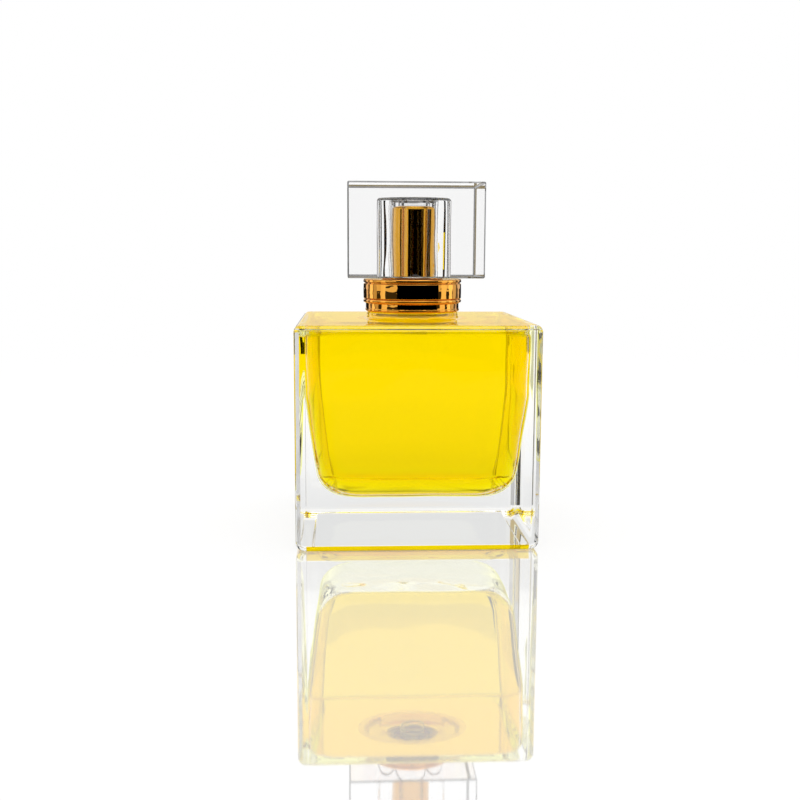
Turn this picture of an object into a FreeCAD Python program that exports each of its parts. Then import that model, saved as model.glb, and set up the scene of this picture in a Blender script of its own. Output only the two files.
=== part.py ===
import FreeCAD, Part
import os

import Sketcher
from FreeCAD import Vector

# Square glass aftershave bottle with a crimped spray pump, a gold collar and a clear block cap.
# Frame: origin at the centre of the foot, +Z up, -Y is the front, millimetres.

DIMENSIONS = {
    # glass block
    "glass_width": 56.0,
    "glass_height": 51.8,
    "glass_corner": 2.5,
    "glass_top_edge": 1.6,
    "glass_foot_edge": 2.0,
    "recess_width": 48.6,
    "recess_depth": 0.8,
    "recess_edge": 0.5,
    # cavity: wider at the roof than at the floor, with soft edges
    "floor_level": 11.0,
    "roof_level": 50.6,
    "cavity_floor_width": 44.6,
    "cavity_roof_width": 52.4,
    "cavity_corner": 5.5,
    "cavity_floor_edge": 5.0,
    "cavity_roof_edge": 1.8,
    "liquid_gap": 0.1,
    "liquid_level": 52.4,
    "liquid_top_radius": 6.0,
    # crimp neck
    "pedestal_radius": 10.5,
    "pedestal_level": 53.5,
    "neck_radius": 6.7,
    "bead_level": 55.4,
    "lip_radius": 7.5,
    "lip_level": 58.6,
    "lip_edge": 0.5,
    "bore_radius": 4.75,
    "throat_radius": 8.2,
    "throat_level": 51.6,
    "throat_top": 53.2,
    # pump housing
    "gasket_thick": 0.8,
    "gasket_radius": 7.4,
    "gasket_hole": 4.85,
    "flange_radius": 7.2,
    "flange_thick": 0.9,
    "barrel_radius": 4.4,
    "barrel_bore": 3.6,
    "barrel_level": 49.4,
    "shelf_level": 50.2,
    "chamber_radius": 3.5,
    "chamber_bore": 2.7,
    "chamber_level": 40.8,
    "seat_level": 38.9,
    "seat_bore": 0.8,
    "socket_radius": 2.1,
    "socket_top": 37.9,
    "socket_level": 33.0,
    "nib_level": 41.95,
    "nib_reach": 1.0,
    "nib_width": 0.5,
    "nib_height": 0.35,
    "nib_root": 0.2,
    # dip tube and inlet ball
    "tube_radius": 1.15,
    "tube_bore": 0.75,
    "tube_level": 12.4,
    "ball_radius": 1.2,
    "ball_level": 39.83,
    # stem, piston and return spring
    "stem_radius": 1.5,
    "stem_bore": 0.6,
    "stem_top": 71.8,
    "stem_foot": 46.4,
    "stem_blind": 47.2,
    "valve_radius": 2.2,
    "piston_level": 47.0,
    "piston_top": 49.9,
    "piston_waist": 2.2,
    "piston_lip": 0.6,
    "piston_bore": 1.54,
    "piston_radius": 2.66,
    "valve_play": 0.5,
    "shoulder_radius": 2.1,
    "shoulder_thick": 0.8,
    "port_radius": 0.35,
    "port_level": 47.6,
    "stem_flange_radius": 3.1,
    "stem_flange_level": 58.4,
    "stem_flange_thick": 0.8,
    "spring_radius": 2.95,
    "wire_radius": 0.25,
    "spring_pitch": 1.1,
    # lock ring, stem seal and crimp ferrule
    "guide_bore": 1.55,
    "lock_radius": 3.55,
    "lock_level": 59.25,
    "seal_level": 60.9,
    "seal_top": 61.9,
    "ferrule_sheet": 0.4,
    "ferrule_bore": 7.55,
    "crimp_level": 54.6,
    "crimp_bore": 6.95,
    "dome_radius": 4.1,
    "dome_level": 62.4,
    "dome_hole": 1.9,
    # collar
    "collar_radius": 12.05,
    "collar_base": 53.55,
    "collar_base_radius": 11.55,
    "collar_bead_level": 55.6,
    "collar_bead_top": 56.65,
    "collar_bead_edge": 0.45,
    "collar_top": 61.4,
    "shell_wall": 0.6,
    "shell_roof": 0.4,
    "shell_hole": 6.95,
    "shell_step": 0.8,
    "groove_height": 0.35,
    "groove_depth": 0.3,
    "carrier_radius": 11.4,
    "carrier_bore": 8.05,
    "carrier_hub": 9.15,
    "carrier_rim": 10.7,
    "carrier_web": 60.7,
    "carrier_hole": 4.3,
    "boss_radius": 6.8,
    "boss_bore": 6.05,
    "boss_top": 64.4,
    "rib_width": 0.8,
    "rib_level": 57.2,
    # actuator
    "actuator_level": 65.8,
    "actuator_top": 77.0,
    "actuator_radius": 5.6,
    "actuator_edge": 0.6,
    "sheath_wall": 0.4,
    "core_well": 4.5,
    "core_well_top": 67.4,
    "core_socket": 1.54,
    "core_channel": 0.6,
    "core_branch": 0.45,
    "nozzle_level": 72.9,
    "nozzle_radius": 1.5,
    "nozzle_depth": 1.8,
    "nozzle_cup": 0.9,
    "nozzle_wall": 0.5,
    "orifice_radius": 0.15,
    "sheath_window": 1.8,
    # cap
    "cap_width": 31.9,
    "cap_level": 61.9,
    "cap_top": 84.0,
    "cap_edge": 0.25,
    "cap_bore": 8.95,
    "cap_roof": 80.7,
    "liner_level": 61.45,
    "liner_top": 78.6,
    "liner_radius": 7.65,
    "liner_wall": 0.4,
    "liner_edge": 0.7,
    "plug_radius": 5.55,
    "grip_level": 61.7,
    "grip_top": 67.5,
    "grip_bore": 6.98,
    "grip_bead": 6.86,
    "grip_bead_level": 62.6,
    "grip_bead_height": 0.5,
}

doc = FreeCAD.newDocument("aftershave_bottle")
sheet = doc.addObject("Spreadsheet::Sheet", "Dimensions")
for row, (alias, size) in enumerate(DIMENSIONS.items(), start=1):
    sheet.set(f"A{row}", alias)
    sheet.set(f"B{row}", str(size))
    sheet.setAlias(f"B{row}", alias)
doc.recompute()

SIGNS = {"+": 1, "-": -1}


def number(text):
    """Value of '0', or of a sum or difference of sheet aliases, such as 'lip_level + gasket_thick'."""
    total = 0.0
    sign = 1
    for word in text.split():
        if word in SIGNS:
            sign = SIGNS[word]
        elif word != "0":
            total += sign * DIMENSIONS[word]
    return total


def bound(text):
    """The same sum written as an expression on the sheet."""
    return " ".join(word if word in SIGNS else "Dimensions." + word for word in text.split())


def new_body(label):
    body = doc.addObject("PartDesign::Body", label)
    body.Label = label
    return body


def new_sketch(body, name, plane, level=None):
    """Sketch on one of the body's own origin planes, raised along its normal by a sheet value."""
    sketch = body.newObject("Sketcher::SketchObject", name)
    support = next(item for item in body.Origin.OriginFeatures if item.Role == plane)
    sketch.AttachmentSupport = [(support, "")]
    sketch.MapMode = "FlatFace"
    if level:
        sketch.setExpression("AttachmentOffset.Base.z", bound(level))
    return sketch


def pin_point(sketch, line, side, text):
    """Hold one coordinate of a line's start at a sheet value, or on the axis when text is '0'."""
    axis_line = {"DistanceX": -2, "DistanceY": -1}[side]
    if text == "0":
        sketch.addConstraint(Sketcher.Constraint("PointOnObject", line, 1, axis_line))
        return
    pinned = Sketcher.Constraint(side, -1, 1, line, 1, number(text))
    index = sketch.addConstraint(pinned)
    sketch.setExpression(f"Constraints[{index}]", bound(text))


def outline(body, name, points):
    """Closed outline of straight lines on the XZ plane; each point is (radius, level)."""
    sketch = new_sketch(body, name, "XZ_Plane")
    place = [Vector(number(radius), number(level), 0) for radius, level in points]
    for index, start in enumerate(place):
        end = place[(index + 1) % len(place)]
        sketch.addGeometry(Part.LineSegment(start, end), False)
    for index, (radius, level) in enumerate(points):
        sketch.addConstraint(Sketcher.Constraint("Coincident", index, 2, (index + 1) % len(points), 1))
        pin_point(sketch, index, "DistanceX", radius)
        pin_point(sketch, index, "DistanceY", level)
    return sketch


def turned(label, points):
    """Body turned about the Z axis from an outline."""
    body = new_body(label)
    sketch = outline(body, label + "_outline", points)
    turn = body.newObject("PartDesign::Revolution", label + "_turn")
    turn.Profile = sketch
    turn.ReferenceAxis = (sketch, ["V_Axis"])
    turn.Angle = 360
    doc.recompute()
    return body


def circle_sketch(body, name, plane, radius, level=None, centre=("0", "0")):
    """Circle on an origin plane, its centre held by sheet values."""
    sketch = new_sketch(body, name, plane, level)
    middle = Vector(number(centre[0]), number(centre[1]), 0)
    sketch.addGeometry(Part.Circle(middle, Vector(0, 0, 1), number(radius)), False)
    index = sketch.addConstraint(Sketcher.Constraint("Radius", 0, number(radius)))
    sketch.setExpression(f"Constraints[{index}]", bound(radius))
    for side, axis_line, text in (("DistanceX", -2, centre[0]), ("DistanceY", -1, centre[1])):
        if text == "0":
            sketch.addConstraint(Sketcher.Constraint("PointOnObject", 0, 3, axis_line))
        else:
            index = sketch.addConstraint(Sketcher.Constraint(side, -1, 1, 0, 3, number(text)))
            sketch.setExpression(f"Constraints[{index}]", bound(text))
    return sketch


def square_sketch(body, name, width, level=None):
    """Square centred on the Z axis."""
    sketch = new_sketch(body, name, "XY_Plane", level)
    half = number(width) / 2
    corners = [Vector(-half, -half, 0), Vector(half, -half, 0),
               Vector(half, half, 0), Vector(-half, half, 0)]
    for index, start in enumerate(corners):
        sketch.addGeometry(Part.LineSegment(start, corners[(index + 1) % 4]), False)
    for index in range(4):
        sketch.addConstraint(Sketcher.Constraint("Coincident", index, 2, (index + 1) % 4, 1))
        run = "Horizontal" if index % 2 == 0 else "Vertical"
        sketch.addConstraint(Sketcher.Constraint(run, index))
    sketch.addConstraint(Sketcher.Constraint("Symmetric", 0, 1, 2, 1, -1, 1))
    for side, first, last in (("DistanceX", 0, 0), ("DistanceY", 1, 1)):
        size = Sketcher.Constraint(side, first, 1, last, 2, number(width))
        index = sketch.addConstraint(size)
        sketch.setExpression(f"Constraints[{index}]", bound(width))
    return sketch


def bar_sketch(body, name, level, start, end, width):
    """Bar lying on +X from one radius to another, its width shared evenly about the axis."""
    sketch = new_sketch(body, name, "XY_Plane", level)
    near_end, far_end, half = number(start), number(end), number(width) / 2
    corners = [Vector(near_end, -half, 0), Vector(far_end, -half, 0),
               Vector(far_end, half, 0), Vector(near_end, half, 0)]
    for index, corner in enumerate(corners):
        sketch.addGeometry(Part.LineSegment(corner, corners[(index + 1) % 4]), False)
    for index in range(4):
        sketch.addConstraint(Sketcher.Constraint("Coincident", index, 2, (index + 1) % 4, 1))
    sketch.addConstraint(Sketcher.Constraint("Horizontal", 0))
    sketch.addConstraint(Sketcher.Constraint("Horizontal", 2))
    sketch.addConstraint(Sketcher.Constraint("Vertical", 3))
    sketch.addConstraint(Sketcher.Constraint("Symmetric", 1, 1, 1, 2, -1))
    for side, fixed_line, line, point, text in (
            ("DistanceX", -1, 0, 1, start),
            ("DistanceX", -1, 0, 2, end),
            ("DistanceY", 1, 1, 2, width)):
        size = Sketcher.Constraint(side, fixed_line, 1, line, point, number(text))
        index = sketch.addConstraint(size)
        sketch.setExpression(f"Constraints[{index}]", bound(text))
    return sketch


def extrude(body, kind, name, sketch, length=None, reverse=False):
    """Pad or Pocket of a sketch; a missing length cuts through everything."""
    feature = body.newObject("PartDesign::" + kind, name)
    feature.Profile = sketch
    if length:
        feature.Length = number(length)
        feature.setExpression("Length", bound(length))
    else:
        feature.Type = "ThroughAll"
    feature.Reversed = reverse
    before = body.Shape.Volume if kind == "Pocket" else 0.0
    doc.recompute()
    if kind == "Pocket" and body.Shape.Volume > before - 1e-6:
        raise RuntimeError(name + " removed nothing")
    return feature


def turned_cut(body, name, points):
    """Groove cut about the Z axis."""
    before = body.Shape.Volume
    sketch = outline(body, name + "_outline", points)
    groove = body.newObject("PartDesign::Groove", name)
    groove.Profile = sketch
    groove.ReferenceAxis = (sketch, ["V_Axis"])
    groove.Angle = 360
    doc.recompute()
    if body.Shape.Volume > before - 1e-6:
        raise RuntimeError(name + " removed nothing")
    return groove


def spread(edge):
    """Lowest and highest corner of an edge's box."""
    box = edge.BoundBox
    return Vector(box.XMin, box.YMin, box.ZMin), Vector(box.XMax, box.YMax, box.ZMax)


def round_edges(body, name, radius, wanted, kind="Fillet"):
    """Fillet or chamfer on the edges of the body's tip that a test picks out."""
    tip = body.Tip
    names = [f"Edge{i}" for i, edge in enumerate(tip.Shape.Edges, start=1) if wanted(*spread(edge))]
    if not names:
        raise RuntimeError(name + " found no edge")
    feature = body.newObject("PartDesign::" + kind, name)
    feature.Base = (tip, names)
    size = "Radius" if kind == "Fillet" else "Size"
    setattr(feature, size, number(radius))
    feature.setExpression(size, bound(radius))
    doc.recompute()
    if "Invalid" in feature.State:
        raise RuntimeError(name + " failed")
    return feature


def near(one, other):
    return abs(one - other) < 0.01


def at_level(level, reach=None):
    """Test for edges that lie flat at a level, optionally all within or beyond a reach from the axis."""
    def test(low, high):
        flat = near(low.z, number(level)) and near(high.z, number(level))
        if not flat or reach is None:
            return flat
        side, limit = reach
        furthest = max(abs(low.x), abs(high.x), abs(low.y), abs(high.y))
        return furthest > number(limit) if side == "beyond" else furthest < number(limit)
    return test


def rising(low, high):
    """Test for edges that climb."""
    return high.z - low.z > 1.0


def leaning(low, high):
    """Test for the slanted corner edges of the cavity."""
    return high.z - low.z > 1.0 and high.x - low.x > 1.0


def every(low, high):
    """Test that takes all edges of some length."""
    return (high - low).Length > 0


def on_bead(low, high):
    """Test for the two outer rims of the base ring's bead."""
    return near(low.z, high.z) and high.x > number("collar_base_radius + groove_depth")


def cavity_form(body, kind, name, gap="0"):
    """Tapered form of the cavity, shrunk all round by a gap: Pad for its contents, Pocket for the glass."""
    trim = "" if gap == "0" else f" - {gap} - {gap}"
    rise = "" if gap == "0" else f" + {gap}"
    floor = square_sketch(body, name + "_floor", "cavity_floor_width" + trim, "floor_level" + rise)
    form = body.newObject("PartDesign::" + kind, name)
    form.Profile = floor
    form.setExpression("Length", bound("roof_level - floor_level" + trim))
    spread_out = f"({bound('cavity_roof_width - cavity_floor_width')}) / 2"
    form.setExpression("TaperAngle", f"atan({spread_out} / ({bound('roof_level - floor_level')}))")
    form.Reversed = kind == "Pocket"
    doc.recompute()
    return form


# ---------------------------------------------------------------- bottle and its contents


def glass_bottle():
    """Heavy square block: thick base, thin roof, low pedestal, flared throat and beaded crimp neck."""
    body = new_body("glass_bottle")
    block = square_sketch(body, "glass_block_outline", "glass_width")
    extrude(body, "Pad", "glass_block", block, "glass_height")
    round_edges(body, "glass_corners", "glass_corner", rising)
    round_edges(body, "glass_top", "glass_top_edge", at_level("glass_height"))
    round_edges(body, "glass_foot", "glass_foot_edge", at_level("0"))
    recess = square_sketch(body, "foot_recess_outline", "recess_width")
    extrude(body, "Pocket", "foot_recess", recess, "recess_depth", reverse=True)
    round_edges(body, "foot_recess_edge", "recess_edge", at_level("recess_depth"))
    cavity_form(body, "Pocket", "glass_cavity")
    round_edges(body, "cavity_corners", "cavity_corner", leaning)
    round_edges(body, "cavity_floor_edges", "cavity_floor_edge", at_level("floor_level"))
    round_edges(body, "cavity_roof_edges", "cavity_roof_edge", at_level("roof_level"))
    neck = outline(body, "neck_outline", [
        ("bore_radius", "throat_top"),
        ("throat_radius", "throat_level"),
        ("throat_radius", "roof_level"),
        ("pedestal_radius", "roof_level"),
        ("pedestal_radius", "pedestal_level"),
        ("neck_radius", "pedestal_level"),
        ("neck_radius", "bead_level - lip_edge"),
        ("lip_radius", "bead_level"),
        ("lip_radius", "lip_level"),
        ("bore_radius", "lip_level"),
    ])
    turn = body.newObject("PartDesign::Revolution", "neck")
    turn.Profile = neck
    turn.ReferenceAxis = (neck, ["V_Axis"])
    turn.Angle = 360
    doc.recompute()
    turned_cut(body, "neck_bore", [
        ("0", "roof_level - cavity_roof_edge"),
        ("throat_radius", "roof_level - cavity_roof_edge"),
        ("throat_radius", "throat_level"),
        ("bore_radius", "throat_top"),
        ("bore_radius", "lip_level"),
        ("0", "lip_level"),
    ])
    round_edges(body, "lip_round", "lip_edge", at_level("lip_level"))
    round_edges(body, "pedestal_round", "lip_edge", at_level("pedestal_level", ("beyond", "lip_radius")))
    return body


def aftershave_liquid():
    """Liquid filling the cavity and the throat around the pump and its dip tube."""
    floor = "floor_level + liquid_gap"
    roof = "roof_level - liquid_gap"
    body = new_body("aftershave_liquid")
    cavity_form(body, "Pad", "liquid", "liquid_gap")
    round_edges(body, "liquid_corners", "cavity_corner - liquid_gap", leaning)
    round_edges(body, "liquid_floor_edges", "cavity_floor_edge - liquid_gap", at_level(floor))
    round_edges(body, "liquid_roof_edges", "cavity_roof_edge - liquid_gap", at_level(roof))
    throat = outline(body, "throat_outline", [
        ("0", "roof_level - cavity_roof_edge"),
        ("throat_radius - liquid_gap", "roof_level - cavity_roof_edge"),
        ("throat_radius - liquid_gap", "throat_level - liquid_gap"),
        ("liquid_top_radius", "liquid_level"),
        ("0", "liquid_level"),
    ])
    turn = body.newObject("PartDesign::Revolution", "liquid_throat")
    turn.Profile = throat
    turn.ReferenceAxis = (throat, ["V_Axis"])
    turn.Angle = 360
    doc.recompute()
    turned_cut(body, "pump_space", [
        ("0", "tube_level - liquid_gap"),
        ("tube_radius + liquid_gap", "tube_level - liquid_gap"),
        ("tube_radius + liquid_gap", "socket_level - liquid_gap"),
        ("socket_radius + liquid_gap", "socket_level - liquid_gap"),
        ("socket_radius + liquid_gap", "socket_top - liquid_gap"),
        ("chamber_radius + liquid_gap", "socket_top - liquid_gap"),
        ("chamber_radius + liquid_gap", "barrel_level - liquid_gap"),
        ("barrel_radius + liquid_gap", "barrel_level - liquid_gap"),
        ("barrel_radius + liquid_gap", "liquid_level"),
        ("0", "liquid_level"),
    ])
    return body


def pump_housing():
    """Moulded housing: flange, wide barrel for the spring, chamber, ball seat and tube socket."""
    body = turned("pump_housing", [
        ("flange_radius", "lip_level + gasket_thick"),
        ("flange_radius", "lip_level + gasket_thick + flange_thick"),
        ("barrel_bore", "lip_level + gasket_thick + flange_thick"),
        ("barrel_bore", "shelf_level"),
        ("chamber_bore", "shelf_level"),
        ("chamber_bore", "chamber_level"),
        ("seat_bore", "seat_level"),
        ("seat_bore", "socket_top"),
        ("tube_radius", "socket_top"),
        ("tube_radius", "socket_level"),
        ("socket_radius", "socket_level"),
        ("socket_radius", "socket_top"),
        ("chamber_radius", "socket_top"),
        ("chamber_radius", "barrel_level"),
        ("barrel_radius", "barrel_level"),
        ("barrel_radius", "lip_level + gasket_thick"),
    ])
    nib = bar_sketch(body, "ball_nib_outline", "nib_level", "nib_reach", "chamber_bore + nib_root",
                     "nib_width")
    pad = extrude(body, "Pad", "ball_nib", nib, "nib_height")
    ring_pattern(body, "ball_nibs", pad, nib, 4)
    return body


def ring_pattern(body, name, feature, sketch, count):
    """Repeat a feature evenly about the Z axis."""
    pattern = body.newObject("PartDesign::PolarPattern", name)
    pattern.Originals = [feature]
    pattern.Axis = (sketch, ["N_Axis"])
    pattern.Angle = 360
    pattern.Occurrences = count
    body.Tip = pattern
    doc.recompute()
    return pattern


def dip_tube():
    return turned("dip_tube", [
        ("tube_bore", "tube_level"),
        ("tube_radius", "tube_level"),
        ("tube_radius", "socket_top"),
        ("tube_bore", "socket_top"),
    ])


def inlet_ball():
    ball = doc.addObject("Part::Sphere", "inlet_ball")
    ball.Label = "inlet_ball"
    ball.setExpression("Radius", bound("ball_radius"))
    ball.setExpression("Placement.Base.z", bound("ball_level"))
    return ball


def neck_gasket():
    return turned("neck_gasket", [
        ("gasket_hole", "lip_level"),
        ("gasket_radius", "lip_level"),
        ("gasket_radius", "lip_level + gasket_thick"),
        ("gasket_hole", "lip_level + gasket_thick"),
    ])


def lock_ring():
    """Ring that shuts the housing and stops the stem's flange at the top of its travel."""
    return turned("lock_ring", [
        ("guide_bore", "lock_level"),
        ("lock_radius", "lock_level"),
        ("lock_radius", "seal_level"),
        ("guide_bore", "seal_level"),
    ])


def stem_seal():
    return turned("stem_seal", [
        ("guide_bore", "seal_level"),
        ("lock_radius", "seal_level"),
        ("lock_radius", "seal_top"),
        ("guide_bore", "seal_top"),
    ])


def crimp_ferrule():
    """Pressed sheet ferrule: dome round the stem, flat panel, skirt crimped under the glass bead."""
    panel = "lip_level + gasket_thick + flange_thick"
    body = turned("crimp_ferrule", [
        ("crimp_bore", "crimp_level"),
        ("ferrule_bore + ferrule_sheet", "bead_level"),
        ("ferrule_bore + ferrule_sheet", panel + " + ferrule_sheet"),
        ("dome_radius", panel + " + ferrule_sheet"),
        ("dome_radius", "dome_level"),
        ("dome_hole", "dome_level"),
        ("dome_hole", "dome_level - ferrule_sheet"),
        ("dome_radius - ferrule_sheet", "dome_level - ferrule_sheet"),
        ("dome_radius - ferrule_sheet", panel),
        ("ferrule_bore", panel),
        ("ferrule_bore", "bead_level"),
        ("crimp_bore", "crimp_level + ferrule_sheet"),
    ])
    round_edges(body, "ferrule_shoulder", "ferrule_sheet",
                at_level(panel + " + ferrule_sheet", ("beyond", "lip_radius")))
    return body


# ---------------------------------------------------------------- moving pump pieces


def stem():
    """Hollow stem: valve head and side port below, stop flange, plain top for the actuator."""
    body = turned("stem", [
        ("0", "stem_foot"),
        ("valve_radius", "stem_foot"),
        ("valve_radius", "piston_level"),
        ("stem_radius", "piston_level"),
        ("stem_radius", "piston_top + valve_play"),
        ("shoulder_radius", "piston_top + valve_play"),
        ("shoulder_radius", "piston_top + valve_play + shoulder_thick"),
        ("stem_radius", "piston_top + valve_play + shoulder_thick"),
        ("stem_radius", "stem_flange_level"),
        ("stem_flange_radius", "stem_flange_level"),
        ("stem_flange_radius", "stem_flange_level + stem_flange_thick"),
        ("stem_radius", "stem_flange_level + stem_flange_thick"),
        ("stem_radius", "stem_top"),
        ("stem_bore", "stem_top"),
        ("stem_bore", "stem_blind"),
        ("0", "stem_blind"),
    ])
    port = circle_sketch(body, "side_port_outline", "XZ_Plane", "port_radius",
                         centre=("0", "port_level"))
    cut = extrude(body, "Pocket", "side_port", port)
    cut.Midplane = True
    doc.recompute()
    return body


def piston():
    """Sleeve piston with a wiping lip at each end, free to slip a little along the stem."""
    return turned("piston", [
        ("piston_bore", "piston_level"),
        ("piston_radius", "piston_level"),
        ("piston_radius", "piston_level + piston_lip"),
        ("piston_waist", "piston_level + piston_lip + piston_lip"),
        ("piston_waist", "piston_top - piston_lip - piston_lip"),
        ("piston_radius", "piston_top - piston_lip"),
        ("piston_radius", "piston_top"),
        ("piston_bore", "piston_top"),
    ])


def return_spring():
    """Round wire coil between the housing's shelf and the stem's flange."""
    body = new_body("return_spring")
    wire = circle_sketch(body, "wire_section", "XZ_Plane", "wire_radius",
                         centre=("spring_radius", "shelf_level + wire_radius"))
    coil = body.newObject("PartDesign::AdditiveHelix", "spring_coil")
    coil.Profile = wire
    coil.ReferenceAxis = (wire, ["V_Axis"])
    coil.Mode = "pitch-height-angle"
    coil.setExpression("Pitch", bound("spring_pitch"))
    coil.setExpression("Height", bound("stem_flange_level - shelf_level - wire_radius - wire_radius"))
    doc.recompute()
    return body


def actuator_core():
    """Moulded core: well over the ferrule's dome, socket on the stem, channel to the nozzle."""
    body = turned("actuator_core", [
        ("core_well", "actuator_level"),
        ("actuator_radius - sheath_wall", "actuator_level"),
        ("actuator_radius - sheath_wall", "actuator_top - sheath_wall"),
        ("0", "actuator_top - sheath_wall"),
        ("0", "nozzle_level"),
        ("core_channel", "nozzle_level"),
        ("core_channel", "stem_top"),
        ("core_socket", "stem_top"),
        ("core_socket", "core_well_top"),
        ("core_well", "core_well_top"),
    ])
    channel = circle_sketch(body, "channel_outline", "XZ_Plane", "core_branch",
                            centre=("0", "nozzle_level"))
    extrude(body, "Pocket", "nozzle_channel", channel, reverse=True)
    seat = circle_sketch(body, "nozzle_seat_outline", "XZ_Plane", "nozzle_radius",
                         "actuator_radius - sheath_wall - nozzle_depth", ("0", "nozzle_level"))
    extrude(body, "Pocket", "nozzle_seat", seat, reverse=True)
    return body


def actuator_sheath():
    """Thin gold cup pressed over the core, with a window for the nozzle."""
    body = turned("actuator_sheath", [
        ("actuator_radius - sheath_wall", "actuator_level"),
        ("actuator_radius", "actuator_level"),
        ("actuator_radius", "actuator_top"),
        ("0", "actuator_top"),
        ("0", "actuator_top - sheath_wall"),
        ("actuator_radius - sheath_wall", "actuator_top - sheath_wall"),
    ])
    round_edges(body, "sheath_round", "actuator_edge", at_level("actuator_top"))
    window = circle_sketch(body, "nozzle_window_outline", "XZ_Plane", "sheath_window",
                           centre=("0", "nozzle_level"))
    extrude(body, "Pocket", "nozzle_window", window, reverse=True)
    return body


def nozzle_insert():
    """Cup-shaped spray insert turned about the nozzle's own axis, which points forward."""
    body = new_body("nozzle_insert")
    disc = circle_sketch(body, "insert_outline", "XZ_Plane", "nozzle_radius",
                         "actuator_radius - sheath_wall - nozzle_depth", ("0", "nozzle_level"))
    extrude(body, "Pad", "insert_disc", disc, "nozzle_depth")
    cup = circle_sketch(body, "insert_cup_outline", "XZ_Plane", "nozzle_cup",
                        "actuator_radius - sheath_wall - nozzle_depth", ("0", "nozzle_level"))
    extrude(body, "Pocket", "insert_cup", cup, "nozzle_depth - nozzle_wall", reverse=True)
    hole = circle_sketch(body, "orifice_outline", "XZ_Plane", "orifice_radius",
                         "actuator_radius - sheath_wall - nozzle_depth", ("0", "nozzle_level"))
    extrude(body, "Pocket", "orifice", hole, reverse=True)
    return body


# ---------------------------------------------------------------- collar


def collar_carrier():
    """Plastic carrier under the gold collar: hub on the ferrule, rim, ribs, boss for the cap."""
    body = turned("collar_carrier", [
        ("carrier_bore", "collar_base"),
        ("carrier_hub", "collar_base"),
        ("carrier_hub", "collar_top - shell_roof - shell_wall"),
        ("carrier_rim", "collar_top - shell_roof - shell_wall"),
        ("carrier_rim", "rib_level"),
        ("carrier_radius", "rib_level"),
        ("carrier_radius", "collar_top - shell_roof"),
        ("boss_radius", "collar_top - shell_roof"),
        ("boss_radius", "boss_top"),
        ("boss_bore", "boss_top"),
        ("boss_bore", "collar_top - shell_roof"),
        ("carrier_hole", "collar_top - shell_roof"),
        ("carrier_hole", "carrier_web"),
        ("carrier_bore", "carrier_web"),
    ])
    rib = bar_sketch(body, "rib_outline", "rib_level", "carrier_hub - nib_root", "carrier_rim + nib_root",
                     "rib_width")
    pad = extrude(body, "Pad", "rib", rib, "collar_top - shell_roof - shell_wall - rib_level")
    ring_pattern(body, "ribs", pad, rib, 8)
    return body


def collar_shell():
    """Polished gold shell: flat roof, thin top flange, groove and the tall main band."""
    lip = "collar_top - shell_step"
    body = turned("collar_shell", [
        ("shell_hole", "collar_top"),
        ("shell_hole", "collar_top - shell_roof"),
        ("collar_radius - shell_wall", "collar_top - shell_roof"),
        ("collar_radius - shell_wall", "collar_bead_top"),
        ("collar_radius", "collar_bead_top"),
        ("collar_radius", lip + " - groove_height"),
        ("collar_radius - groove_depth", lip + " - groove_height"),
        ("collar_radius - groove_depth", lip),
        ("collar_radius", lip),
        ("collar_radius", "collar_top"),
    ])
    return body


def collar_base_ring():
    """Gold base ring: a rounded bead under the main band and a narrower foot on the glass pedestal."""
    body = turned("collar_base_ring", [
        ("carrier_hub", "collar_base"),
        ("collar_base_radius", "collar_base"),
        ("collar_base_radius", "collar_bead_level"),
        ("collar_radius", "collar_bead_level"),
        ("collar_radius", "collar_bead_top"),
        ("carrier_hub", "collar_bead_top"),
    ])
    round_edges(body, "bead_round", "collar_bead_edge", on_bead)
    return body


# ---------------------------------------------------------------- cap


def cap_block():
    """Solid clear block with crisp edges and a plain blind bore from below."""
    body = new_body("cap_block")
    block = square_sketch(body, "cap_outline", "cap_width", "cap_level")
    extrude(body, "Pad", "cap_solid", block, "cap_top - cap_level")
    round_edges(body, "cap_edges", "cap_edge", every, "Chamfer")
    bore = circle_sketch(body, "cap_bore_outline", "XY_Plane", "cap_bore", "cap_level")
    extrude(body, "Pocket", "cap_bore", bore, "cap_roof - cap_level", reverse=True)
    return body


def cap_liner():
    """Gold cup inside the block, closed at the top."""
    body = turned("cap_liner", [
        ("liner_radius - liner_wall", "liner_level"),
        ("liner_radius", "liner_level"),
        ("liner_radius", "liner_top"),
        ("0", "liner_top"),
        ("0", "liner_top - liner_wall"),
        ("liner_radius - liner_wall", "liner_top - liner_wall"),
    ])
    round_edges(body, "liner_round", "liner_edge", at_level("liner_top"))
    return body


def cap_plug():
    """Clear disc that bonds the liner to the roof of the bore."""
    return turned("cap_plug", [
        ("0", "liner_top"),
        ("plug_radius", "liner_top"),
        ("plug_radius", "cap_roof"),
        ("0", "cap_roof"),
    ])


def cap_grip_sleeve():
    """Plastic sleeve in the liner whose bead grips the collar's boss."""
    return turned("cap_grip_sleeve", [
        ("grip_bore", "grip_level"),
        ("liner_radius - liner_wall", "grip_level"),
        ("liner_radius - liner_wall", "grip_top"),
        ("grip_bore", "grip_top"),
        ("grip_bore", "grip_bead_level + grip_bead_height"),
        ("grip_bead", "grip_bead_level + grip_bead_height"),
        ("grip_bead", "grip_bead_level"),
        ("grip_bore", "grip_bead_level"),
    ])


MAKERS = [
    glass_bottle, aftershave_liquid, pump_housing, dip_tube, inlet_ball, neck_gasket, lock_ring, stem_seal,
    crimp_ferrule, stem, piston, return_spring, actuator_core, actuator_sheath, nozzle_insert,
    collar_carrier, collar_shell, collar_base_ring, cap_block, cap_liner, cap_plug, cap_grip_sleeve,
]

pieces = [make() for make in MAKERS]
doc.recompute()

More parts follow.
